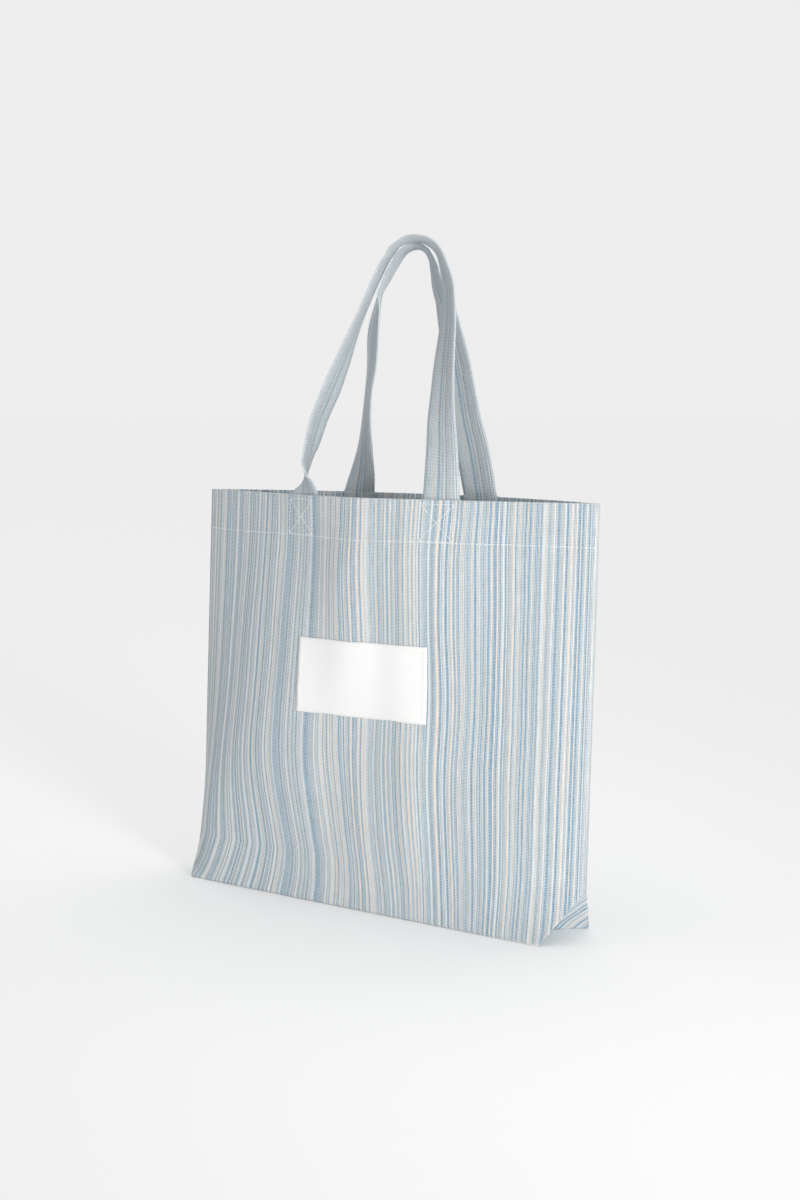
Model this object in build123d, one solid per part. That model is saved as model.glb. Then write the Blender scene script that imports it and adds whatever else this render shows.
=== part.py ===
from build123d import *
import math
import os

# Foldable cloth tote bag. Millimetres, +Z up. The origin is the middle of the flat base, on the surface
# that the bag stands on. The front panel faces -Y. The bag leans back a little, so its rim sits behind
# the middle of the base.

# Driving dimensions
BAG_HEIGHT = 380.0
BASE_HALF_LENGTH = 206.0
BASE_HALF_DEPTH = 41.0
SEAM_HALF_WIDTH = 228.0
RIM_LEAN = 18.0
CORNER_CREASE_HEIGHT = 45.0
CORNER_PUSHED_IN = 36.0

# The rim's plan is a slim lens. Its depth from the line through the side seams, at the middle, at the
# handles and near the sides, for the front and for the rear.
RIM_HANDLE_X = 80.0
RIM_SIDE_X = 160.0
FRONT_RIM_DEPTHS = (48.0, 34.0, 20.0)
REAR_RIM_DEPTHS = (51.0, 45.5, 27.0)
CREASE_RIM_DEPTH = 10.0

CLOTH = 1.5
HEM_DEPTH = 40.0
CLEARANCE = 0.3
SEAM_ALLOWANCE = 10.0
SEAM_THICKNESS = 3.0
SEAM_FROM_EDGE = 15.0
THREAD = 0.6

STRAP_WIDTH = 37.0
STRAP_THICKNESS = 2.6
FRONT_ROOT_X = 80.0
REAR_ROOT_X = 72.0
STRAP_START = 0.5
CROSS_HALF_WIDTH = 16.0
CROSS_MARGIN = 3.0

LABEL_WIDTH = 146.0
LABEL_HEIGHT = 70.0
LABEL_BOTTOM = 178.0
LABEL_THICKNESS = 0.8
LABEL_STITCH_INSET = 3.5

# Handle centre lines: x, y, height above the rim, and the turn of the strap's width from +X in degrees.
FRONT_STRAP = [
    (-80, -12, 0, 0),
    (-82, -11.5, 13, -25),
    (-80, -9.5, 30, -58),
    (-77, -8, 43, -70),
    (-70, -4, 70, -76),
    (-59, 0, 96, -79),
    (-48, 3.5, 122, -74),
    (-37, 6, 147, -66),
    (-24, 8, 173, -61),
    (-5, 9.5, 207, -60),
    (5, 10, 220, -58),
    (15, 10, 228, -55),
    (32, 10, 232, -53),
    (48, 10, 228, -50),
    (60, 9, 219, -46),
    (68, 8, 204, -42),
    (73, 7, 189, -38),
    (75, 5.5, 174, -36),
    (76, 4, 159, -33),
    (74, 1, 120, -25),
    (74, -1.5, 95, -20),
    (75, -4.5, 71, -13),
    (78, -8, 40, -4),
    (80, -12, 0, 0),
]
REAR_STRAP = [
    (-72, 59, 0, 0),
    (-66, 57, 20, -16),
    (-61, 54, 42, -30),
    (-56, 50, 69, -39),
    (-50, 46, 96, -42),
    (-43, 42.5, 122, -38),
    (-38, 39, 148, -36),
    (-31, 36, 170, -42),
    (-25, 34, 186, -50),
    (-18, 33, 196, -58),
    (-10, 32.5, 208, -62),
    (-1, 32.5, 219, -60),
    (8, 32.5, 225, -57),
    (19, 33, 227, -54),
    (27, 34, 224, -51),
    (32, 36, 216, -48),
    (34, 38.5, 206, -42),
    (37, 41.5, 190, -34),
    (42, 44, 175, -27),
    (48, 46, 148, -19),
    (53, 48, 123, -13),
    (57, 50, 96, -8),
    (60, 53, 70, -4),
    (66, 56, 40, 0),
    (72, 59, 0, 0),
]


def mix(low, high, share):
    """The value a given share of the way from low to high."""
    return low + (high - low) * share


def half_outline(height, rim_depths):
    """Half of a plan outline, from the middle to the right: three points with their depths."""
    share = height / BAG_HEIGHT
    middle = mix(BASE_HALF_DEPTH, rim_depths[0], share)
    handle = mix(BASE_HALF_DEPTH, rim_depths[1], share)
    if height == 0:
        corner = (BASE_HALF_LENGTH, BASE_HALF_DEPTH)
    else:
        corner_x = mix(SEAM_HALF_WIDTH - 6, RIM_SIDE_X, share)
        corner = (corner_x, mix(CREASE_RIM_DEPTH, rim_depths[2], share))
    return [(0, middle), (RIM_HANDLE_X, handle), corner]


def ring_points(height):
    """Plan outline of the bag's outer face at one height, anticlockwise from the left side seam."""
    seam_x = SEAM_HALF_WIDTH if height else BASE_HALF_LENGTH - CORNER_PUSHED_IN
    seam_y = RIM_LEAN * height / BAG_HEIGHT
    front = half_outline(height, FRONT_RIM_DEPTHS)
    rear = half_outline(height, REAR_RIM_DEPTHS)
    points = [(-seam_x, 0)]
    points += [(-x, -depth) for x, depth in reversed(front)]
    points += [(x, -depth) for x, depth in front[1:]]
    points += [(seam_x, 0)]
    points += [(x, depth) for x, depth in reversed(rear)]
    points += [(-x, depth) for x, depth in rear[1:]]
    return [(x, y + seam_y) for x, y in points]


def inset_points(points, inset):
    """Move each side of a closed outline inwards by the same distance."""
    moved = []
    for index, point in enumerate(points):
        before = points[index - 1]
        after = points[(index + 1) % len(points)]
        side_in = Vector(point[0] - before[0], point[1] - before[1]).normalized()
        side_out = Vector(after[0] - point[0], after[1] - point[1]).normalized()
        normal_in = Vector(-side_in.Y, side_in.X)
        normal_out = Vector(-side_out.Y, side_out.X)
        bisector = (normal_in + normal_out).normalized()
        reach = inset / max(bisector.dot(normal_in), 0.35)
        moved.append((point[0] + bisector.X * reach, point[1] + bisector.Y * reach))
    return moved


def bag_solid(inset):
    """The bag's outer shape as a closed solid, shrunk by a wall thickness."""
    wires = []
    for height in (0, CORNER_CREASE_HEIGHT, BAG_HEIGHT):
        corners = [(x, y, height) for x, y in inset_points(ring_points(height), inset)]
        wires.append(Wire.make_polygon([Vector(*corner) for corner in corners], close=True))
    return Solid.make_loft(wires, ruled=True)


def block(low, high):
    """A box between two opposite corners."""
    size = [high[axis] - low[axis] for axis in range(3)]
    middle = [(high[axis] + low[axis]) / 2 for axis in range(3)]
    return Pos(*middle) * Box(*size)


def half_space(side):
    """Everything on one side of the leaning plane through the two side seams: -1 front, 1 rear."""
    lean = RIM_LEAN / BAG_HEIGHT
    far = 400 * side
    gap = CLEARANCE / 2 * side
    top = BAG_HEIGHT + 20
    outline = [(gap - 10 * lean, -10), (far, -10), (far, top), (gap + top * lean, top)]
    face = Plane.YZ * make_face(Polyline(*outline, close=True))
    return extrude(face, amount=400, both=True)


def layer(outer_inset, inner_inset, side):
    """One layer of cloth that follows the front or the rear of the bag, over its whole height."""
    return (bag_solid(outer_inset) - bag_solid(inner_inset)) & half_space(side)


def band(sheet, low, high, half_width=300.0, centre=0.0):
    """The part of a layer between two heights, and optionally between two sides."""
    return sheet & block((centre - half_width, -400, low), (centre + half_width, 400, high))


def bar_between(start, end, thickness):
    """A bar deep enough in Y to cut a stitch line, between two points of the XZ plane."""
    length = math.dist(start, end)
    angle = math.degrees(math.atan2(end[1] - start[1], end[0] - start[0]))
    middle = ((start[0] + end[0]) / 2, 0, (start[1] + end[1]) / 2)
    return Pos(*middle) * Rot(0, -angle, 0) * Box(length, 800, thickness)


def stitch_cutter(segments):
    """All the bars of one stitched figure."""
    return [bar_between(start, end, THREAD) for start, end in segments]


def cross_box(root_x):
    """The square and diagonals that hold a sewn strap end."""
    left = root_x - CROSS_HALF_WIDTH
    right = root_x + CROSS_HALF_WIDTH
    low = BAG_HEIGHT - HEM_DEPTH + CROSS_MARGIN
    high = BAG_HEIGHT - CROSS_MARGIN
    corners = [(left, low), (right, low), (right, high), (left, high)]
    sides = [(corners[index], corners[(index + 1) % 4]) for index in range(4)]
    return sides + [(corners[0], corners[2]), (corners[1], corners[3])]


def label_outline():
    """The rectangle of thread that holds the label."""
    half = LABEL_WIDTH / 2 - LABEL_STITCH_INSET
    low = LABEL_BOTTOM + LABEL_STITCH_INSET
    high = LABEL_BOTTOM + LABEL_HEIGHT - LABEL_STITCH_INSET
    corners = [(-half, low), (half, low), (half, high), (-half, high)]
    return [(corners[index], corners[(index + 1) % 4]) for index in range(4)]


def strap(stations):
    """A flat strap through the stations, its width turned as each one says."""
    lift = BAG_HEIGHT + STRAP_START
    places = [Vector(x, y, lift + rise) for x, y, rise, _ in stations]
    wires = []
    for index, place in enumerate(places):
        before = places[max(index - 1, 0)]
        after = places[min(index + 1, len(places) - 1)]
        along = (after - before).normalized()
        if index in (0, len(places) - 1):
            along = Vector(0, 0, 1 if index == 0 else -1)
        turn = math.radians(stations[index][3])
        across = Vector(math.cos(turn), math.sin(turn), 0)
        across = (across - along * across.dot(along)).normalized() * (STRAP_WIDTH / 2)
        through = along.cross(across).normalized() * (STRAP_THICKNESS / 2)
        corners = [across + through, across - through, -across - through, -across + through]
        wires.append(Wire.make_polygon([place + corner for corner in corners], close=True))
    return Solid.make_loft(wires, ruled=True)


def sewn_ends(side, root_x):
    """The two strap ends that lie flat inside the hem."""
    inner = 2 * CLOTH + CLEARANCE
    sheet = layer(inner, inner + STRAP_THICKNESS, side)
    low = BAG_HEIGHT - HEM_DEPTH
    return [band(sheet, low, BAG_HEIGHT, STRAP_WIDTH / 2, centre) for centre in (-root_x, root_x)]


def side_seam(side):
    """The sewn seam allowance that runs up the inside of one side: -1 left, 1 right."""
    outer = SEAM_HALF_WIDTH - SEAM_FROM_EDGE
    inner = outer - SEAM_ALLOWANCE
    low = CORNER_CREASE_HEIGHT + 5
    lean = RIM_LEAN / BAG_HEIGHT
    half = SEAM_THICKNESS / 2
    outline = []
    for y, z in [(-half, low), (half, low), (half, BAG_HEIGHT), (-half, BAG_HEIGHT)]:
        outline.append((y + z * lean, z))
    face = Plane.YZ * make_face(Polyline(*outline, close=True))
    bar = extrude(face, amount=SEAM_ALLOWANCE)
    return Pos(inner if side > 0 else -outer, 0, 0) * bar


def corner_seam(side):
    """The sewn end of the boxed corner, which stands inside along the end of the base."""
    outer = [(x, y) for x, y in inset_points(ring_points(0), CLOTH + CLEARANCE)]
    inner = [(x, y) for x, y in inset_points(ring_points(0), CLOTH + CLEARANCE + SEAM_THICKNESS)]
    low = CLOTH + CLEARANCE
    rim = extrude(make_face(Polyline(*outer, close=True)), amount=SEAM_ALLOWANCE)
    rim -= extrude(make_face(Polyline(*inner, close=True)), amount=SEAM_ALLOWANCE)
    depth = BASE_HALF_DEPTH * 0.6
    start = 150 if side > 0 else -300
    return (Pos(0, 0, low) * rim) & block((start, -depth, 0), (start + 150, depth, 8))


def save(name, shapes):
    """Write one named sub-part as a group of its separate solids."""
    solids = []
    for shape in shapes:
        solids += shape.solids()
    export_step(Compound(children=solids), f"parts/{name}.step")
    print(name, len(solids), "solids")


def bottom_panel():
    """The flat base, inside the foot of the two panels."""
    outline = inset_points(ring_points(0), CLOTH + 4 * CLEARANCE)
    return extrude(make_face(Polyline(*outline, close=True)), amount=CLOTH)


def bottom_seam():
    """The seam allowance that lies along the middle of the base, inside."""
    half = BASE_HALF_LENGTH - CORNER_PUSHED_IN - 12
    lift = CLOTH + CLEARANCE
    return block((-half, -SEAM_ALLOWANCE / 2, lift), (half, SEAM_ALLOWANCE / 2, lift + 2))


def half_bag(name, side, root_x):
    """The panel, hem and stitching of the front (-1) or the rear (1)."""
    low = BAG_HEIGHT - HEM_DEPTH
    save(f"{name}_panel", [layer(0, CLOTH, side)])
    hem = layer(CLOTH + CLEARANCE / 2, 2 * CLOTH, side)
    save(f"{name}_top_hem", [band(hem, low, BAG_HEIGHT, SEAM_HALF_WIDTH - 18)])
    thread = layer(-THREAD, 0, side)
    save(f"{name}_hem_stitching", [band(thread, low + 2, low + 2 + THREAD, SEAM_HALF_WIDTH - 6)])
    crosses = []
    for centre in (-root_x, root_x):
        for bar in stitch_cutter(cross_box(centre)):
            crosses.append(thread & bar)
    merged = crosses[0].fuse(*crosses[1:])
    save(f"{name}_cross_stitching", [merged])
    save(f"{name}_handle_ends", sewn_ends(side, root_x))


def label():
    """The sewn cloth label and the thread around it."""
    sheet = layer(-LABEL_THICKNESS, 0, -1)
    patch = band(sheet, LABEL_BOTTOM, LABEL_BOTTOM + LABEL_HEIGHT, LABEL_WIDTH / 2)
    save("front_label", [patch])
    thread = layer(-LABEL_THICKNESS - THREAD, -LABEL_THICKNESS, -1)
    sides = [thread & bar for bar in stitch_cutter(label_outline())]
    save("label_stitching", [sides[0].fuse(*sides[1:])])


os.makedirs("parts", exist_ok=True)
half_bag("front", -1, FRONT_ROOT_X)
half_bag("rear", 1, REAR_ROOT_X)
label()
save("bottom_panel", [bottom_panel()])
save("bottom_seam", [bottom_seam()])
save("left_side_seam", [side_seam(-1)])
save("right_side_seam", [side_seam(1)])
save("left_corner_seam", [corner_seam(-1)])
save("right_corner_seam", [corner_seam(1)])
save("front_handle", [strap(FRONT_STRAP)])
save("rear_handle", [strap(REAR_STRAP)])
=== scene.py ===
import math
import random
import bmesh
import bpy
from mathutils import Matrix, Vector, noise


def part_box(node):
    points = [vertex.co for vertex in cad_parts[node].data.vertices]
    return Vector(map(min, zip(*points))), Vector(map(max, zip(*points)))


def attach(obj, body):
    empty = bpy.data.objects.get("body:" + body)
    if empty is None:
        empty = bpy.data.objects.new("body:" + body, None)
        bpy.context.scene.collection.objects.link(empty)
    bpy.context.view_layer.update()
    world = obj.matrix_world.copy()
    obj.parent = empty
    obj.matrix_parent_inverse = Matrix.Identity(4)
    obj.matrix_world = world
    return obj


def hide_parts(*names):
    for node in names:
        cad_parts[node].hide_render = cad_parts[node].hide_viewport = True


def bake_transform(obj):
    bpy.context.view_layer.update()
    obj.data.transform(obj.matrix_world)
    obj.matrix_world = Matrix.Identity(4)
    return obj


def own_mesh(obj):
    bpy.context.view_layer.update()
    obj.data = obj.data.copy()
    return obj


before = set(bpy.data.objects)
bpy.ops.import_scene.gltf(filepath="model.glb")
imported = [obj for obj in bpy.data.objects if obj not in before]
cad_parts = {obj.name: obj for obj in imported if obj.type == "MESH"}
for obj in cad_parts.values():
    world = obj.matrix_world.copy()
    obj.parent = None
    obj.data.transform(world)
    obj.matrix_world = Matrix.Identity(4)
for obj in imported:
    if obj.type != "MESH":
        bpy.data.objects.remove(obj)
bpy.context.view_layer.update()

# Metres, in the CAD frame. The panel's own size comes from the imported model.
PANEL_LOW, PANEL_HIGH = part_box("front_panel")
HEIGHT = PANEL_HIGH[2]
SEAM_X = PANEL_HIGH[0]
BASE_X = 0.206
BASE_Y = -PANEL_LOW[1]
PUSHED_X = 0.170
CREASE_HEIGHT = 0.045
RIM_LEAN = 0.018
FRONT, REAR = -1, 1
RIM_MIDDLE = {FRONT: 0.048, REAR: 0.051}
HALF_CLOTH = BASE_X + BASE_Y
CLOTH = 0.0012
HEM_DEPTH = 0.040
STITCH_LIFT = 0.00015

STRAP_WIDTH = 0.037
STRAP_THICKNESS = 0.0026
FRONT_ROOT = (0.080, -0.012)
REAR_ROOT = (0.072, 0.059)
ROOT_RISE = 0.020
ROOT_SLOPE = math.tan(math.radians(8))

# Handle centre lines: x, y, height above the rim, and the turn of the strap's width from +X in degrees.
FRONT_STRAP = [
    (-0.0800, -0.0120, 0.0000, -8),
    (-0.0810, -0.0100, 0.0050, -18),
    (-0.0825, -0.0075, 0.0110, -34),
    (-0.0830, -0.0065, 0.0180, -50),
    (-0.0815, -0.0070, 0.0300, -62),
    (-0.0770, -0.0080, 0.0430, -70),
    (-0.0700, -0.0040, 0.0700, -76),
    (-0.0590, 0.0000, 0.0960, -79),
    (-0.0480, 0.0035, 0.1220, -74),
    (-0.0370, 0.0060, 0.1470, -66),
    (-0.0240, 0.0080, 0.1730, -61),
    (-0.0050, 0.0095, 0.2070, -60),
    (0.0050, 0.0100, 0.2200, -58),
    (0.0150, 0.0100, 0.2280, -55),
    (0.0320, 0.0100, 0.2320, -53),
    (0.0480, 0.0100, 0.2280, -50),
    (0.0600, 0.0090, 0.2190, -46),
    (0.0680, 0.0080, 0.2040, -42),
    (0.0730, 0.0070, 0.1890, -38),
    (0.0750, 0.0055, 0.1740, -36),
    (0.0760, 0.0040, 0.1590, -33),
    (0.0740, 0.0010, 0.1200, -25),
    (0.0740, -0.0015, 0.0950, -20),
    (0.0750, -0.0045, 0.0710, -13),
    (0.0780, -0.0080, 0.0400, -4),
    (0.0800, -0.0120, 0.0000, 8),
]
REAR_STRAP = [
    (-0.0720, 0.0590, 0.0000, 0),
    (-0.0660, 0.0570, 0.0200, -16),
    (-0.0610, 0.0540, 0.0420, -30),
    (-0.0560, 0.0500, 0.0690, -39),
    (-0.0500, 0.0460, 0.0960, -42),
    (-0.0430, 0.0425, 0.1220, -38),
    (-0.0380, 0.0390, 0.1480, -36),
    (-0.0310, 0.0360, 0.1700, -42),
    (-0.0250, 0.0340, 0.1860, -50),
    (-0.0180, 0.0330, 0.1960, -58),
    (-0.0100, 0.0325, 0.2080, -62),
    (-0.0010, 0.0325, 0.2190, -60),
    (0.0080, 0.0325, 0.2250, -57),
    (0.0190, 0.0330, 0.2270, -54),
    (0.0270, 0.0340, 0.2240, -51),
    (0.0320, 0.0360, 0.2160, -48),
    (0.0340, 0.0385, 0.2060, -42),
    (0.0370, 0.0415, 0.1900, -34),
    (0.0420, 0.0440, 0.1750, -27),
    (0.0480, 0.0460, 0.1480, -19),
    (0.0530, 0.0480, 0.1230, -13),
    (0.0570, 0.0500, 0.0960, -8),
    (0.0600, 0.0530, 0.0700, -4),
    (0.0660, 0.0560, 0.0400, 0),
    (0.0720, 0.0590, 0.0000, 0),
]


def mix(low, high, share):
    return low + (high - low) * share


def smooth(share):
    share = min(max(share, 0.0), 1.0)
    return share * share * (3 - 2 * share)


# ---------------------------------------------------------------- the cloth surface

# The front ridge, from the foot to the rim: its place across the panel and how softly it turns.
RIDGE_PLACE = (-0.60, -0.01)
RIDGE_SOFTNESS = (0.30, 0.012)
# How square the plan is at the foot, and for each side at the rim and how fast it gets there.
FOOT_FULLNESS = 6.5
RIM_FULLNESS = {FRONT: (1.3, 0.40), REAR: (2.1, 0.55)}
BROAD_WAVE = 0.0060
FINE_WAVE = 0.0020
LEAN = 0.15
KINK = 0.009
DRIFT = 0.016


def ridge_at(side, z):
    """Where the panel stands furthest out, as a share of its half width: it drifts left going down."""
    return mix(*RIDGE_PLACE, smooth(z / HEIGHT)) if side == FRONT else 0.0


def fullness(side, z):
    """How square the plan is: high near the base, nearly a wedge at the front of the rim."""
    rim, rise = RIM_FULLNESS[side]
    return mix(FOOT_FULLNESS, rim, smooth((z / HEIGHT) ** rise))


def drape(side, t, z):
    """The soft waves of standing cloth: none at the seams, the base or the stitched hem."""
    free = (1 - t * t) * smooth(z / 0.09) * smooth((HEIGHT - z + 0.01) / 0.07)
    spot = Vector((t * 2.3, z * 4.0, 3.0 * side))
    broad = noise.noise(spot) * BROAD_WAVE
    fine = noise.noise(Vector((t * 6.0, z * 8.0, 5.0 * side))) * FINE_WAVE
    pull = 0.0
    for root in (-0.35, 0.35):
        pull += math.exp(-((t - root) / 0.09) ** 2) * 0.0012 * smooth(z / HEIGHT)
    return free * (broad + fine + pull)


def panel_point(side, t, z):
    """The outer face of a panel: t runs from seam to seam (-1 to 1), z from the floor to the rim."""
    low = min(z / CREASE_HEIGHT, 1.0)
    reach = mix(BASE_X, SEAM_X, low)
    crease_depth = BASE_Y * (1 - low)
    middle = mix(BASE_Y, RIM_MIDDLE[side], z / HEIGHT)
    ridge = ridge_at(side, z)
    away = (t - ridge) / (1 - ridge) if t > ridge else (t - ridge) / (1 + ridge)
    soft = mix(*RIDGE_SOFTNESS, smooth((z / HEIGHT - 0.45) / 0.4))
    rounded = ((away * away + soft * soft) / (1 + soft * soft)) ** 0.5
    swell = 1 - rounded ** fullness(side, z)
    depth = crease_depth + (middle - crease_depth) * swell
    depth += drape(side, t, z)
    foot = max(0.0, 1 - z / 0.003)
    depth -= 0.0022 * foot * foot
    shift = 0.0016 * noise.noise(Vector((t * 5, z * 9, 9.0))) * smooth(z / 0.05) * (1 - t * t)
    return Vector((reach * t + shift, RIM_LEAN * z / HEIGHT + side * depth, z))


def flow(side, t, z):
    """How the cloth's threads run: they lean to the right towards the foot and kink under the hem."""
    free = (1 - t * t) * smooth((HEIGHT - z) / 0.05)
    lean = LEAN * (1 - smooth(z / 0.15)) * (0.60 - 0.38 * t) if side == FRONT else 0.0
    kink = KINK * noise.noise(Vector((t * 4.0, z * 11.0, 7.0 + side)))
    drift = DRIFT * noise.noise(Vector((t * 1.6, z * 4.0, 3.0 + side)))
    return t + free * (lean + kink + drift)


def inset_vector(side, t, z, depth):
    """The step from the outer face into the bag, which dies out at the side seams."""
    low = min(z / CREASE_HEIGHT, 1.0)
    into = min(1.0, (1 - abs(t)) * 30 + (1 - low))
    edge = max(0.0, (abs(t) - 0.96) / 0.04) * (1 - low)
    return Vector((-math.copysign(depth * edge, t), -side * depth * into, 0))


def inner_point(side, t, z, depth):
    return panel_point(side, t, z) + inset_vector(side, t, z, depth)


def outward(side, t, z):
    """The panel's outward normal."""
    step = 0.002
    across = panel_point(side, t + step, z) - panel_point(side, t - step, z)
    z_low = max(z - step, 0.001)
    up = panel_point(side, t, z_low + 2 * step) - panel_point(side, t, z_low)
    return (across.cross(up) * -side).normalized()


def facet_point(side, end, share, z):
    """The folded-in end of the boxed corner: share runs from the crease (0) to the side seam (1)."""
    low = min(z / CREASE_HEIGHT, 1.0)
    crease = panel_point(side, end, z)
    tuck = 0.004 * math.sin(math.pi * share) * (1 - low) * smooth(z / 0.01)
    seam_x = mix(PUSHED_X, SEAM_X, low ** 0.8)
    seam = Vector((end * seam_x, RIM_LEAN * z / HEIGHT, z))
    place = crease.lerp(seam, share)
    place.x -= end * tuck
    return place


# ---------------------------------------------------------------- mesh helpers

def new_object(name, mesh, material):
    mesh.materials.append(material)
    obj = bpy.data.objects.new(name, mesh)
    bpy.context.scene.collection.objects.link(obj)
    for polygon in mesh.polygons:
        polygon.use_smooth = True
    return obj


def uv_layer(bm):
    return bm.loops.layers.uv.get("UVMap") or bm.loops.layers.uv.new("UVMap")


def grid_mesh(bm, rows, cloth_rows):
    """Add a grid of points, with its cloth coordinates as a UV map in metres."""
    layer = uv_layer(bm)
    made = [[bm.verts.new(point) for point in row] for row in rows]
    for j in range(len(rows) - 1):
        for i in range(len(rows[0]) - 1):
            corners = [(j, i), (j, i + 1), (j + 1, i + 1), (j + 1, i)]
            face = bm.faces.new([made[a][b] for a, b in corners])
            for loop, (a, b) in zip(face.loops, corners):
                loop[layer].uv = cloth_rows[a][b]
    return made


def grid_rim(made):
    """The points round the edge of a grid, in order."""
    right = [row[-1] for row in made[1:]]
    left = [row[0] for row in made[-2:0:-1]]
    return made[0] + right + made[-1][-2::-1] + left


def join_rims(bm, under, over):
    """Close the edge between two grids of the same size."""
    low, high = grid_rim(under), grid_rim(over)
    for index in range(len(low)):
        after = (index + 1) % len(low)
        bm.faces.new((low[index], low[after], high[after], high[index]))


def finish_mesh(bm, name, material, weld=0.00002):
    bmesh.ops.remove_doubles(bm, verts=bm.verts, dist=weld)
    bmesh.ops.dissolve_degenerate(bm, dist=0.000001, edges=bm.edges)
    bmesh.ops.recalc_face_normals(bm, faces=bm.faces)
    mesh = bpy.data.meshes.new(name)
    bm.to_mesh(mesh)
    bm.free()
    return new_object(name, mesh, material)


def fold_with_bag(obj):
    """Cloth of the bag is parented to the bag's body and gets its own copy of its mesh."""
    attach(obj, "bag")
    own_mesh(obj)


# ---------------------------------------------------------------- materials

def new_material(name):
    material = bpy.data.materials.new(name)
    material.use_nodes = True
    tree = material.node_tree
    shader = tree.nodes["Principled BSDF"]
    return material, tree, shader


def math_node(tree, operation, first, second=None, third=None):
    node = tree.nodes.new("ShaderNodeMath")
    node.operation = operation
    for socket, value in zip(node.inputs, (first, second, third)):
        if value is None:
            continue
        if isinstance(value, (int, float)):
            socket.default_value = value
        else:
            tree.links.new(value, socket)
    return node.outputs[0]


def mix_colour(tree, share, first, second, blend="MIX"):
    node = tree.nodes.new("ShaderNodeMix")
    node.data_type = "RGBA"
    node.blend_type = blend
    sockets = (node.inputs[0], node.inputs[6], node.inputs[7])
    for socket, value in zip(sockets, (share, first, second)):
        if isinstance(value, (int, float)):
            socket.default_value = value
        elif isinstance(value, tuple):
            socket.default_value = (*value, 1.0)
        else:
            tree.links.new(value, socket)
    return node.outputs[2]


def ramp(tree, value, stops, interpolation="CONSTANT"):
    node = tree.nodes.new("ShaderNodeValToRGB")
    node.color_ramp.interpolation = interpolation
    elements = node.color_ramp.elements
    while len(elements) < len(stops):
        elements.new(0.5)
    for element, (position, colour) in zip(elements, stops):
        element.position = position
        element.color = (*colour, 1.0)
    tree.links.new(value, node.inputs[0])
    return node.outputs[0]


def cells(tree, coordinate, width, randomness, offset=0.0):
    """A row of cells of uneven width: two random values for each, and the distance to its middle."""
    node = tree.nodes.new("ShaderNodeTexVoronoi")
    node.voronoi_dimensions = "1D"
    node.inputs["Scale"].default_value = 1.0
    node.inputs["Randomness"].default_value = randomness
    tree.links.new(math_node(tree, "MULTIPLY_ADD", coordinate, 1.0 / width, offset), node.inputs["W"])
    separate = tree.nodes.new("ShaderNodeSeparateColor")
    tree.links.new(node.outputs["Color"], separate.inputs[0])
    return separate.outputs[0], separate.outputs[1], node.outputs["Distance"]


BLUE = (0.11, 0.28, 0.43)
SOFT_BLUE = (0.29, 0.42, 0.51)
PALE_BLUE = (0.46, 0.53, 0.57)
GREY = (0.50, 0.52, 0.52)
CREAM = (0.84, 0.74, 0.64)
WHITE = (0.78, 0.80, 0.81)
WEFT = (0.73, 0.75, 0.75)
GROUND_WIDTH = 0.0028
STRIPE_EDGE = 0.00015
TWILL_PITCH = 0.0013
# Layers of stripes: spacing, width, shift, colours by share, and strength.
STRIPES = [
    (0.0034, 0.0014, 3.1, [(0.0, SOFT_BLUE), (0.35, WHITE), (0.70, GREY)], 0.75),
    (0.0066, 0.0022, 7.7, [(0.0, CREAM), (0.60, WHITE), (0.80, CREAM)], 0.85),
    (0.0050, 0.0020, 1.9, [(0.0, BLUE), (0.66, SOFT_BLUE), (0.92, WHITE)], 0.95),
    (0.0019, 0.0007, 5.3, [(0.0, SOFT_BLUE), (0.45, WHITE), (0.80, CREAM)], 0.6),
]


def line_of_yarn(tree, across, spacing, width, offset):
    """Narrow stripes, one at a random place in each cell: their mask and a random number for each."""
    pick, breadth, distance = cells(tree, across, spacing, 0.9, offset)
    half = math_node(tree, "MULTIPLY_ADD", breadth, 0.5 * width / spacing, 0.25 * width / spacing)
    soft = STRIPE_EDGE / spacing
    edge = math_node(tree, "DIVIDE", math_node(tree, "SUBTRACT", half, distance), soft)
    mask = math_node(tree, "MINIMUM", math_node(tree, "MAXIMUM", edge, 0.0), 1.0)
    return mask, pick


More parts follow.
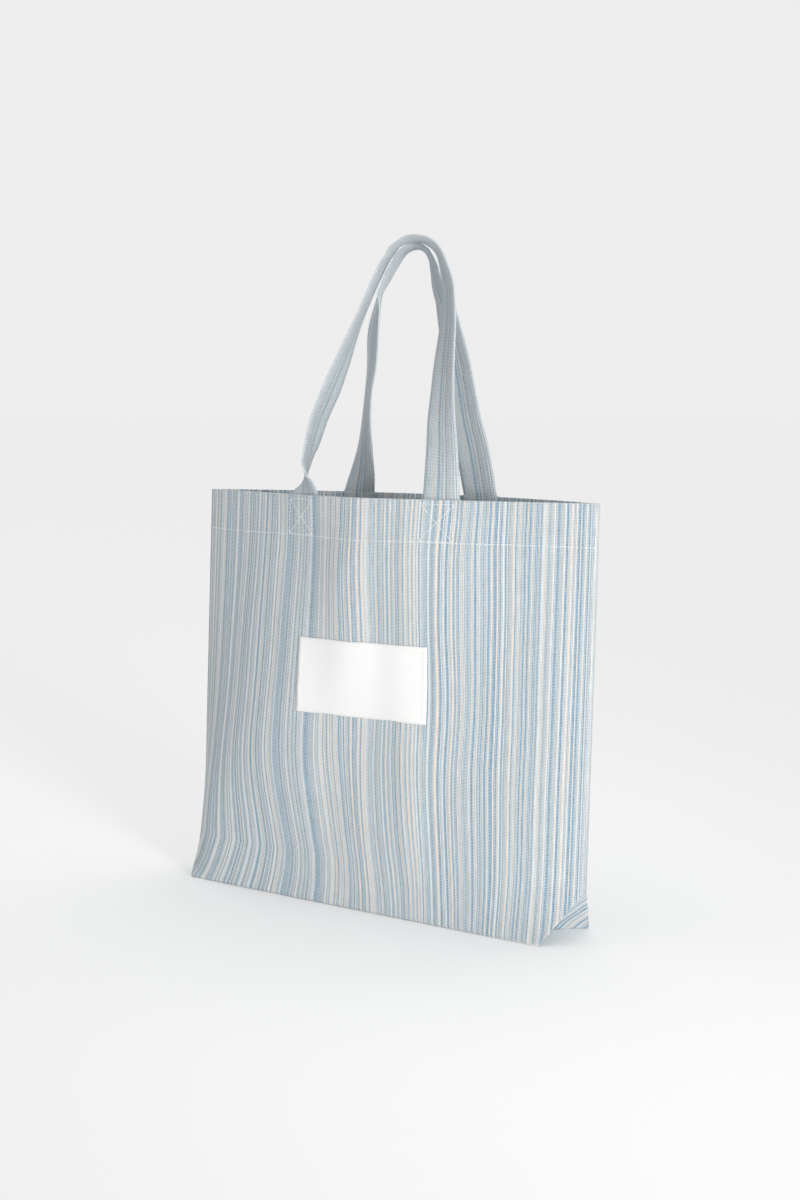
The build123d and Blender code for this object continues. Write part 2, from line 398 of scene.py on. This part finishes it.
def striped_cloth(name, offset=0.0):
    """Woven cloth: narrow warp stripes of uneven width along V, crossed by a pale weft in a twill."""
    material, tree, shader = new_material(name)
    links = tree.links
    uv = tree.nodes.new("ShaderNodeUVMap")
    uv.uv_map = "UVMap"
    separate = tree.nodes.new("ShaderNodeSeparateXYZ")
    links.new(uv.outputs[0], separate.inputs[0])
    across = math_node(tree, "ADD", separate.outputs[0], 1.0 + offset)
    along = separate.outputs[1]

    ground, _, _ = cells(tree, across, GROUND_WIDTH, 1.0)
    warp = ramp(tree, ground, [(0.0, SOFT_BLUE), (0.13, PALE_BLUE), (0.52, GREY), (0.88, WHITE)])
    for spacing, width, shift, stops, strength in STRIPES:
        mask, pick = line_of_yarn(tree, across, spacing, width, shift)
        share = math_node(tree, "MULTIPLY", mask, strength)
        warp = mix_colour(tree, share, warp, ramp(tree, pick, stops))

    column_turn = math_node(tree, "MULTIPLY", across, math.pi / TWILL_PITCH)
    row_turn = math_node(tree, "MULTIPLY", along, math.pi / TWILL_PITCH)
    twill = math_node(tree, "SINE", math_node(tree, "ADD", column_turn, row_turn))
    counter = math_node(tree, "SINE", math_node(tree, "SUBTRACT", row_turn, column_turn))
    weave = math_node(tree, "MULTIPLY", twill, counter)
    uneven = tree.nodes.new("ShaderNodeTexNoise")
    uneven.inputs["Scale"].default_value = 1.0
    uneven.inputs["Detail"].default_value = 2.0
    spread = tree.nodes.new("ShaderNodeCombineXYZ")
    links.new(math_node(tree, "MULTIPLY", across, 260.0), spread.inputs[0])
    links.new(math_node(tree, "MULTIPLY", along, 420.0), spread.inputs[1])
    links.new(spread.outputs[0], uneven.inputs["Vector"])
    raised = math_node(tree, "MAXIMUM", math_node(tree, "ADD", weave, 0.1), 0.0)
    fleck = math_node(tree, "MULTIPLY", raised, math_node(tree, "MULTIPLY", uneven.outputs[0], 1.9))
    colour = mix_colour(tree, math_node(tree, "MINIMUM", fleck, 1.0), warp, WEFT)

    slub = tree.nodes.new("ShaderNodeTexNoise")
    slub.inputs["Scale"].default_value = 1.0
    slub.inputs["Detail"].default_value = 3.0
    stretch = tree.nodes.new("ShaderNodeCombineXYZ")
    links.new(math_node(tree, "MULTIPLY", across, 700.0), stretch.inputs[0])
    links.new(math_node(tree, "MULTIPLY", along, 60.0), stretch.inputs[1])
    links.new(stretch.outputs[0], slub.inputs["Vector"])
    shadow = math_node(tree, "MULTIPLY", math_node(tree, "MINIMUM", weave, 0.0), 0.34)
    tone = math_node(tree, "ADD", shadow, math_node(tree, "MULTIPLY_ADD", slub.outputs[0], 0.36, 0.79))
    scale = tree.nodes.new("ShaderNodeVectorMath")
    scale.operation = "SCALE"
    links.new(colour, scale.inputs[0])
    links.new(tone, scale.inputs[3])
    links.new(scale.outputs[0], shader.inputs["Base Color"])

    height = math_node(tree, "MULTIPLY_ADD", weave, 0.5, math_node(tree, "MULTIPLY", slub.outputs[0], 0.6))
    bump = tree.nodes.new("ShaderNodeBump")
    bump.inputs["Strength"].default_value = 0.5
    bump.inputs["Distance"].default_value = 0.00035
    links.new(height, bump.inputs["Height"])
    links.new(bump.outputs[0], shader.inputs["Normal"])
    links.new(math_node(tree, "MULTIPLY_ADD", slub.outputs[0], 0.12, 0.80), shader.inputs["Roughness"])
    shader.inputs["Sheen Weight"].default_value = 0.12
    shader.inputs["Sheen Roughness"].default_value = 0.5
    shader.inputs["Specular IOR Level"].default_value = 0.2
    return material


def plain_weave(name, colour, pitch, strength):
    """A fine plain weave in one yarn colour, with small uneven patches of tone."""
    material, tree, shader = new_material(name)
    links = tree.links
    uv = tree.nodes.new("ShaderNodeUVMap")
    uv.uv_map = "UVMap"
    separate = tree.nodes.new("ShaderNodeSeparateXYZ")
    links.new(uv.outputs[0], separate.inputs[0])
    turns = []
    for axis in (0, 1):
        turn = math_node(tree, "MULTIPLY", separate.outputs[axis], 2 * math.pi / pitch)
        turns.append(math_node(tree, "SINE", turn))
    weave = math_node(tree, "MULTIPLY", turns[0], turns[1])
    patch = tree.nodes.new("ShaderNodeTexNoise")
    patch.inputs["Scale"].default_value = 90.0
    patch.inputs["Detail"].default_value = 4.0
    links.new(uv.outputs[0], patch.inputs["Vector"])
    tone = math_node(tree, "MULTIPLY_ADD", patch.outputs[0], 0.10, 0.0)
    shade = math_node(tree, "MULTIPLY_ADD", weave, 0.05, tone)
    darker = tuple(part * 0.80 for part in colour)
    links.new(mix_colour(tree, shade, colour, darker), shader.inputs["Base Color"])
    bump = tree.nodes.new("ShaderNodeBump")
    bump.inputs["Strength"].default_value = strength
    bump.inputs["Distance"].default_value = 0.0002
    links.new(weave, bump.inputs["Height"])
    links.new(bump.outputs[0], shader.inputs["Normal"])
    links.new(math_node(tree, "MULTIPLY_ADD", patch.outputs[0], 0.10, 0.74), shader.inputs["Roughness"])
    shader.inputs["Sheen Weight"].default_value = 0.15
    shader.inputs["Specular IOR Level"].default_value = 0.3
    return material


# ---------------------------------------------------------------- bag pieces

def heights():
    """Row heights: every 3 mm, closer together at the foot and just under the rim."""
    rows = [0.0, 0.0008, 0.0018, 0.003]
    z = 0.006
    while z < HEIGHT - 0.004:
        rows.append(z)
        z += 0.003
    rows += [HEIGHT - 0.003, HEIGHT - 0.0015, HEIGHT - 0.0006]
    return rows


COLUMNS = 190
FACET_COLUMNS = 14


def panel(side, name, material):
    """One panel of cloth with its hem turned in over the rim."""
    bm = bmesh.new()
    ts = [-1 + 2 * i / COLUMNS for i in range(COLUMNS + 1)]
    levels = heights()
    rows, cloth = [], []

    def add_row(z, depth, v):
        width = mix(BASE_X, HALF_CLOTH, min(z / CREASE_HEIGHT, 1.0))
        rows.append([inner_point(side, flow(side, t, z), z, depth) for t in ts])
        cloth.append([(t * width, v) for t in ts])

    for z in levels:
        add_row(z, 0.0, z)
    fold = CLOTH * 1.15
    for step in range(1, 8):
        angle = math.pi * step / 8
        row = [inner_point(side, t, HEIGHT, fold * (1 - math.cos(angle))) for t in ts]
        lift = 0.0006 * math.sin(angle) - 0.0006
        rows.append([point + Vector((0, 0, lift)) for point in row])
        cloth.append([(t * HALF_CLOTH, HEIGHT + 0.001 * step / 8) for t in ts])
    hem_floor = HEIGHT - HEM_DEPTH
    for z in reversed([level for level in levels if level > hem_floor]):
        add_row(z, 2 * fold, 2 * HEIGHT - z)
    for depth in (2 * fold, CLOTH):
        add_row(hem_floor, depth, HEIGHT + HEM_DEPTH)
    for z in reversed([level for level in levels if level < hem_floor]):
        add_row(z, CLOTH, z)
    grid_mesh(bm, rows + [rows[0]], cloth + [cloth[0]])

    for end in (-1, 1):
        facet(bm, side, end, [z for z in levels if z < CREASE_HEIGHT] + [CREASE_HEIGHT])
    obj = finish_mesh(bm, name, material)
    fold_with_bag(obj)
    return obj


def facet(bm, side, end, levels):
    """The two faces of the cloth at one folded-in end, joined along the seam and under the foot."""
    shares = [i / FACET_COLUMNS for i in range(FACET_COLUMNS + 1)]
    rows, cloth = [], []
    for z in levels:
        low = z / CREASE_HEIGHT
        width = mix(BASE_X, HALF_CLOTH, low)
        outer = [facet_point(side, end, share, z) for share in shares]
        crease = inset_vector(side, end, z, CLOTH)
        push = Vector((-end * CLOTH, -side * CLOTH * 0.5, 0)) * (1 - low)
        inner = [point + crease.lerp(push, min(share * 4, 1.0)) for point, share in zip(outer, shares)]
        coordinates = [(end * mix(width, HALF_CLOTH, share), z) for share in shares]
        rows.append(outer + inner[::-1])
        cloth.append(coordinates + coordinates[::-1])
    foot = grid_mesh(bm, rows, cloth)[0]
    for i in range(FACET_COLUMNS):
        bm.faces.new((foot[i], foot[i + 1], foot[-2 - i], foot[-1 - i]))


def bottom(material):
    """The flat base, its ends following the folded-in corners."""
    bm = bmesh.new()
    shares = [-1 + 2 * i / 60 for i in range(61)]
    depths = [-1 + 2 * j / 16 for j in range(17)]
    edge = BASE_Y - 0.0016
    layers = []
    for level in (0.0002, 0.0002 + CLOTH):
        rows, cloth = [], []
        for depth in depths:
            reach = BASE_X - 0.002 - (BASE_X - PUSHED_X) * (1 - abs(depth))
            sag = 0.0006 if level > CLOTH else 0.0
            row = []
            for share in shares:
                ripple = sag * noise.noise(Vector((share * 6, depth * 2, 1)))
                row.append(Vector((share * reach, depth * edge, level + ripple)))
            rows.append(row)
            cloth.append([(share * reach, depth * edge) for share in shares])
        layers.append(grid_mesh(bm, rows, cloth))
    join_rims(bm, *layers)
    obj = finish_mesh(bm, "bottom_cloth", material)
    fold_with_bag(obj)
    return obj


def ribbon(name, centre, width_steps, body_steps, material):
    """A closed flat ribbon: centre(share, across, face) gives its points."""
    bm = bmesh.new()
    faces = []
    for face in (0, 1):
        rows, cloth = [], []
        for j in range(body_steps + 1):
            share = j / body_steps
            row = []
            uv_row = []
            for i in range(width_steps + 1):
                across = i / width_steps
                point, uv = centre(share, across, face)
                row.append(point)
                uv_row.append(uv)
            rows.append(row)
            cloth.append(uv_row)
        faces.append(grid_mesh(bm, rows, cloth))
    join_rims(bm, *faces)
    return finish_mesh(bm, name, material)


def t_at(x, z):
    """The share of the half width at a given x."""
    return x / mix(BASE_X, SEAM_X, min(z / CREASE_HEIGHT, 1.0))


# ---------------------------------------------------------------- straps

def spline(stations, count):
    """Evenly spaced places along a smooth line through the stations."""
    points = [Vector(station) for station in stations]
    points = [points[0] * 2 - points[1]] + points + [points[-1] * 2 - points[-2]]
    dense = []
    for k in range(1, len(points) - 2):
        p0, p1, p2, p3 = points[k - 1:k + 3]
        for step in range(24):
            s = step / 24
            place = (p1 * 2 + (p2 - p0) * s + (p0 * 2 - p1 * 5 + p2 * 4 - p3) * s * s
                     + (p1 * 3 - p0 - p2 * 3 + p3) * s * s * s) * 0.5
            dense.append(place)
    dense.append(points[-2])
    lengths = [0.0]
    for before, after in zip(dense, dense[1:]):
        lengths.append(lengths[-1] + (after.xyz - before.xyz).length)
    even = []
    index = 0
    for k in range(count + 1):
        target = lengths[-1] * k / count
        while index < len(dense) - 2 and lengths[index + 1] < target:
            index += 1
        span = lengths[index + 1] - lengths[index]
        even.append(dense[index].lerp(dense[index + 1], (target - lengths[index]) / span))
    return even, lengths[-1]


STRAP_STEPS = 240
PROFILE = 12


def strap_rings(stations):
    """Rings of points round the strap, with their cloth coordinates, from one root to the other."""
    raised = [(x, y, HEIGHT + rise, turn) for x, y, rise, turn in stations]
    places, length = spline(raised, STRAP_STEPS)
    rings = []
    for index, place in enumerate(places):
        before = places[max(index - 1, 0)].xyz
        after = places[min(index + 1, STRAP_STEPS)].xyz
        along = (after - before).normalized()
        ends = smooth(min(index, STRAP_STEPS - index) / 12)
        upright = Vector((0, 0, 1 if index < STRAP_STEPS / 2 else -1))
        along = upright.lerp(along, ends).normalized()
        turn = math.radians(place.w)
        across = Vector((math.cos(turn), math.sin(turn), 0))
        across = (across - along * across.dot(along)).normalized()
        through = along.cross(across).normalized()
        cup = 0.0014 * ends * math.sin(index * 0.035 + 1.0)
        ring = []
        half = STRAP_WIDTH / 2
        for face in (1, -1):
            for i in range(PROFILE + 1):
                share = face * (1 - 2 * i / PROFILE)
                rounding = 1 - abs(share) ** 8 * 0.55
                lift = face * STRAP_THICKNESS / 2 * rounding + cup * (share * share - 0.4)
                point = place.xyz + across * (share * half) + through * lift
                ring.append((point, (share * half, length * index / STRAP_STEPS)))
        rings.append(ring)
    return rings


def strap_mesh(name, rings, material):
    """A closed tube through a run of rings."""
    bm = bmesh.new()
    rows = [[point for point, _ in ring] + [ring[0][0]] for ring in rings]
    cloth = [[uv for _, uv in ring] + [ring[0][1]] for ring in rings]
    made = grid_mesh(bm, rows, cloth)
    for row in (made[0], made[-1]):
        bm.faces.new(row[:-1])
        for before, after in zip(row[:-1], row[1:-1] + row[:1]):
            bm.edges.get((before, after)).smooth = False
    return finish_mesh(bm, name, material)


def handle(side, name, stations, root, body, material):
    """A handle: its loop, the two short bends at the rim and the two sewn ends inside the hem."""
    rings = strap_rings(stations)
    rise = [sum((point.z for point, _ in ring)) / len(ring) - HEIGHT for ring in rings]
    first = next(index for index, height in enumerate(rise) if height > ROOT_RISE)
    last = len(rise) - next(index for index, height in enumerate(reversed(rise)) if height > ROOT_RISE)
    loop = strap_mesh(name + "_loop", rings[first:last], material)
    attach(loop, body)
    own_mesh(loop)
    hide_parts(name)
    for hand, part in (("left", rings[:first + 1]), ("right", rings[last - 1:])):
        bend = strap_mesh(f"{name}_bend_{hand}", part, material)
        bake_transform(bend)
    for hand, centre in (("left", -root[0]), ("right", root[0])):
        end = sewn_end(side, f"{name}_end_{hand}", centre, root[1], material)
        fold_with_bag(end)
        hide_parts(("front" if side == FRONT else "rear") + "_handle_ends")


def sewn_end(side, name, centre, root_y, material):
    """The flat strap end sewn inside the hem."""
    half = STRAP_WIDTH / 2

    def place(share, across, face):
        z = HEIGHT - HEM_DEPTH + 0.002 + share * (HEM_DEPTH - 0.001)
        x = centre + (across * 2 - 1) * half
        depth = 2.3 * CLOTH + 0.0004 + face * STRAP_THICKNESS * 0.8
        point = inner_point(side, t_at(x, z), z, depth)
        top = smooth((z - HEIGHT + 0.018) / 0.018)
        flat_y = root_y + (STRAP_THICKNESS / 2) * (1 if face else -1) * -side
        if side == FRONT:
            flat_y += (x - centre) * math.copysign(ROOT_SLOPE, centre)
        point.y = mix(point.y, flat_y, top)
        return point, ((across * 2 - 1) * half, z)

    return ribbon(name, place, 14, 16, material)


# ---------------------------------------------------------------- stitching

def stitch_line(bm, side, path, outer=0.0, length=0.0026, gap=0.0010, radius=0.00028):
    """Single stitches along a path of (x, z) points on a panel's outer face."""
    for start, end in zip(path, path[1:]):
        run = math.dist(start, end)
        count = max(1, round(run / (length + gap)))
        for k in range(count):
            middle = (k + 0.5) / count + random.uniform(-0.02, 0.02) / count
            half = length / run / 2
            add_stitch(bm, side, start, end, middle - half, middle + half, outer, radius)


def add_stitch(bm, side, start, end, low, high, outer, radius):
    """One stitch: a short thread that rises out of the cloth and dives back in."""
    layer = uv_layer(bm)
    rings = []
    steps = 5
    for j in range(steps + 1):
        share = mix(low, high, j / steps)
        x = mix(start[0], end[0], share)
        z = mix(start[1], end[1], share)
        t = t_at(x, z)
        normal = outward(side, t, z)
        arch = 1 - (2 * j / steps - 1) ** 2
        centre = panel_point(side, t, z) + normal * (outer + STITCH_LIFT + radius * (arch * 1.0 - 0.6))
        line = Vector((end[0] - start[0], 0, end[1] - start[1])).normalized()
        sideways = normal.cross(line).normalized()
        size = radius * (0.45 + 0.55 * arch ** 0.5)
        ring = []
        for k in range(6):
            angle = k * math.pi / 3
            ring.append(centre + sideways * math.cos(angle) * size + normal * math.sin(angle) * size)
        rings.append([bm.verts.new(point) for point in ring])
    for j in range(steps):
        for k in range(6):
            after = (k + 1) % 6
            face = bm.faces.new((rings[j][k], rings[j][after], rings[j + 1][after], rings[j + 1][k]))
            for loop, (a, b) in zip(face.loops, ((j, k), (j, k + 1), (j + 1, k + 1), (j + 1, k))):
                loop[layer].uv = (a * 0.0006, b * 0.0003)
    bm.faces.new(rings[0])
    bm.faces.new(rings[-1])


def stitching(name, node, side, paths, outer, material):
    bm = bmesh.new()
    for path in paths:
        stitch_line(bm, side, path, outer)
    obj = finish_mesh(bm, name, material, weld=0.000001)
    fold_with_bag(obj)
    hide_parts(node)
    return obj


def wavy(start, end, steps, waver, seed):
    """A straight sewn line that wavers a little, as a hand-guided seam does."""
    path = []
    for k in range(steps + 1):
        share = k / steps
        shake = waver * noise.noise(Vector((share * 5, seed, 0)))
        across = (end[1] - start[1], start[0] - end[0])
        size = math.hypot(*across)
        x = mix(start[0], end[0], share) + shake * across[0] / size
        z = mix(start[1], end[1], share) + shake * across[1] / size
        path.append((x, z))
    return path


def cross_box(centre):
    """The square with diagonals that holds a strap end."""
    half = 0.016
    low = HEIGHT - HEM_DEPTH + 0.003
    high = HEIGHT - 0.004
    corners = [(centre - half, low), (centre + half, low), (centre + half, high), (centre - half, high)]
    square = [corners + corners[:1]]
    return square + [[corners[0], corners[2]], [corners[1], corners[3]]]


def hem_line(side, seed):
    z = HEIGHT - HEM_DEPTH + 0.002
    reach = SEAM_X - 0.002
    return [wavy((-reach, z), (reach, z), 24, 0.0012, seed)]


# ---------------------------------------------------------------- label

LABEL_LOW, LABEL_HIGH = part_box("front_label")


def label(material):
    """The plain white cloth label, cut a little unevenly and lying on the front panel."""
    left, right = LABEL_LOW[0], LABEL_HIGH[0]
    low, high = LABEL_LOW[2], LABEL_HIGH[2]

    def place(share, across, face):
        z = mix(low, high, share) + 0.0006 * noise.noise(Vector((across * 6, share * 2, 4)))
        x = mix(left, right, across) + 0.0006 * noise.noise(Vector((share * 5, across * 2, 8)))
        t = t_at(x, z)
        lift = 0.0002 + face * 0.0005
        rim = min(share, 1 - share, (across if across < 0.5 else 1 - across) * 2)
        lift += 0.0006 * (1 - smooth(rim / 0.05)) * (0.5 + noise.noise(Vector((across * 9, share * 5, 2))))
        return panel_point(FRONT, t, z) + outward(FRONT, t, z) * lift, (x, z)

    obj = ribbon("front_label_cloth", place, 60, 30, material)
    fold_with_bag(obj)
    return obj


def label_stitch_paths():
    inset = 0.0035
    left, right = LABEL_LOW[0] + inset, LABEL_HIGH[0] - inset
    low, high = LABEL_LOW[2] + inset, LABEL_HIGH[2] - inset
    corners = [(left, low), (right, low), (right, high), (left, high)]
    paths = []
    for index in range(4):
        paths.append(wavy(corners[index], corners[(index + 1) % 4], 8, 0.0009, index * 3.7))
    return paths


# ---------------------------------------------------------------- inner seams

def side_seam(end, name, material):
    """The seam allowance that stands inside one side of the bag."""
    depth = 0.010

    def place(share, across, face):
        z = mix(CREASE_HEIGHT + 0.004, HEIGHT - 0.004, share)
        sway = 0.0016 * math.sin(share * 19) * across
        x = end * (SEAM_X - 0.002 - across * depth)
        y = RIM_LEAN * z / HEIGHT + sway + (face - 0.5) * 0.0016 * (1 if end > 0 else -1)
        return Vector((x, y, z)), (across * depth, z)

    obj = ribbon(name + "_cloth", place, 4, 70, material)
    fold_with_bag(obj)
    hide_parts(name)


def corner_seam(end, name, material):
    """The seam allowance along the folded-in end of the base."""

    def place(share, across, face):
        depth = (share * 2 - 1) * BASE_Y * 0.72
        reach = BASE_X - (BASE_X - PUSHED_X) * (1 - abs(depth) / BASE_Y)
        x = end * (reach - 0.005 - face * 0.0018 - across * 0.003)
        z = 0.0018 + across * 0.0085
        return Vector((x, depth, z)), (across * 0.009, depth)

    obj = ribbon(name + "_cloth", place, 4, 30, material)
    fold_with_bag(obj)
    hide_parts(name)


def bottom_seam(material):
    low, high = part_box("bottom_seam")

    def place(share, across, face):
        x = mix(low[0], high[0], share)
        y = mix(low[1], high[1], across)
        ripple = 0.0005 * noise.noise(Vector((share * 20, across * 2, 6)))
        z = 0.0022 + face * 0.0014 + abs(ripple)
        return Vector((x, y, z)), (x, y)

    obj = ribbon("bottom_seam_cloth", place, 6, 80, material)
    fold_with_bag(obj)
    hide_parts("bottom_seam")


# ---------------------------------------------------------------- studio

FLOOR_RADII = (2.0, 6.0, 15.0, 40.0)
FLOOR_SIDES = 96


def studio():
    """A flat, round, pale floor."""
    bm = bmesh.new()
    rings = []
    for radius in FLOOR_RADII:
        ring = []
        for k in range(FLOOR_SIDES):
            angle = 2 * math.pi * k / FLOOR_SIDES
            ring.append(bm.verts.new((radius * math.cos(angle), radius * math.sin(angle), 0.0)))
        rings.append(ring)
    bm.faces.new(rings[0])
    for inner, outer in zip(rings, rings[1:]):
        for k in range(FLOOR_SIDES):
            after = (k + 1) % FLOOR_SIDES
            bm.faces.new((inner[k], inner[after], outer[after], outer[k]))
    bmesh.ops.recalc_face_normals(bm, faces=bm.faces)
    mesh = bpy.data.meshes.new("studio_floor")
    bm.to_mesh(mesh)
    bm.free()
    material, tree, shader = new_material("studio_floor")
    shader.inputs["Base Color"].default_value = (0.985, 0.985, 0.985, 1)
    shader.inputs["Roughness"].default_value = 0.9
    floor = new_object("studio_floor", mesh, material)


BACKDROP = 0.85
NEAR_SIDE = 0.38
OVERHEAD = 0.50
KEY_PLACE = (2.45, -1.30, 0.42)
KEY_POWER = 245
KEY_AIM = (0, 0, 0.30)
KEY_SPREAD = 34
KEY_RADIUS = 0.30
# The level direction that points away from the camera.
BEHIND_X = -0.62
BEHIND_Y = 0.79


def ease(tree, value, low, high):
    """A smooth step from 0 to 1 between two values."""
    node = tree.nodes.new("ShaderNodeMapRange")
    node.interpolation_type = "SMOOTHSTEP"
    tree.links.new(value, node.inputs[0])
    node.inputs[1].default_value = low
    node.inputs[2].default_value = high
    return node.outputs[0]


def lights():
    """A pale studio: bright behind the bag and overhead, dimmer on the near side, with a soft key lamp."""
    world = bpy.data.worlds.new("studio_air")
    world.use_nodes = True
    tree = world.node_tree
    background = tree.nodes["Background"]
    place = tree.nodes.new("ShaderNodeTexCoord")
    parts = tree.nodes.new("ShaderNodeSeparateXYZ")
    tree.links.new(place.outputs["Generated"], parts.inputs[0])
    behind = math_node(tree, "MULTIPLY_ADD", parts.outputs[1], BEHIND_Y,
                       math_node(tree, "MULTIPLY", parts.outputs[0], BEHIND_X))
    behind_share = ease(tree, behind, -0.2, 0.5)
    overhead = ease(tree, parts.outputs[2], 0.45, 0.85)
    level = math_node(tree, "MULTIPLY_ADD", behind_share, BACKDROP - NEAR_SIDE, NEAR_SIDE)
    level = math_node(tree, "MULTIPLY_ADD", overhead, OVERHEAD, level)
    background.inputs[0].default_value = (1.0, 1.0, 1.0, 1)
    tree.links.new(level, background.inputs[1])
    bpy.context.scene.world = world
    bpy.context.scene.view_settings.view_transform = "Standard"
    lamp = bpy.data.lights.new("key", "SPOT")
    lamp.energy = KEY_POWER
    lamp.spot_size = math.radians(KEY_SPREAD)
    lamp.spot_blend = 1.0
    lamp.shadow_soft_size = KEY_RADIUS
    obj = bpy.data.objects.new("key", lamp)
    obj.location = KEY_PLACE
    obj.rotation_euler = (Vector(KEY_AIM) - Vector(KEY_PLACE)).to_track_quat("-Z", "Y").to_euler()
    bpy.context.scene.collection.objects.link(obj)


# The camera fitted to the photo.
CAMERA_LENS = 60.06
CAMERA_PLACE = (1.14975, -1.43935, 0.4707)
CAMERA_DIP = 5.78
CAMERA_TURN = 38.03


def camera():
    data = bpy.data.cameras.new("camera")
    data.sensor_width = 36.0
    data.lens = CAMERA_LENS
    obj = bpy.data.objects.new("camera", data)
    obj.location = CAMERA_PLACE
    obj.rotation_euler = (math.radians(90 - CAMERA_DIP), 0, math.radians(CAMERA_TURN))
    bpy.context.scene.collection.objects.link(obj)
    bpy.context.scene.camera = obj


# ---------------------------------------------------------------- build

random.seed(4)
camera()
studio()
lights()

cloth = striped_cloth("striped_cloth")
strap_cloth = striped_cloth("strap_cloth", offset=0.37)
thread = plain_weave("white_thread", (0.93, 0.93, 0.92), 0.0006, 0.4)
label_cloth = plain_weave("label_cloth", (0.88, 0.88, 0.87), 0.0009, 0.35)

for side, name in ((FRONT, "front"), (REAR, "rear")):
    sheet = panel(side, f"{name}_cloth", cloth)
    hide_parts(f"{name}_panel", f"{name}_top_hem")
base = bottom(cloth)
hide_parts("bottom_panel")

patch = label(label_cloth)
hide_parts("front_label")

handle(FRONT, "front_handle", FRONT_STRAP, FRONT_ROOT, "front_handle", strap_cloth)
handle(REAR, "rear_handle", REAR_STRAP, REAR_ROOT, "rear_handle", strap_cloth)

stitching("front_hem_thread", "front_hem_stitching", FRONT, hem_line(FRONT, 1.0), 0.0, thread)
stitching("rear_hem_thread", "rear_hem_stitching", REAR, hem_line(REAR, 2.0), 0.0, thread)
stitching("label_thread", "label_stitching", FRONT, label_stitch_paths(), 0.0008, thread)
for side, name, root in ((FRONT, "front", FRONT_ROOT), (REAR, "rear", REAR_ROOT)):
    paths = cross_box(-root[0]) + cross_box(root[0])
    stitching(f"{name}_cross_thread", f"{name}_cross_stitching", side, paths, 0.0, thread)

side_seam(-1, "left_side_seam", cloth)
side_seam(1, "right_side_seam", cloth)
corner_seam(-1, "left_corner_seam", cloth)
corner_seam(1, "right_corner_seam", cloth)
bottom_seam(cloth)
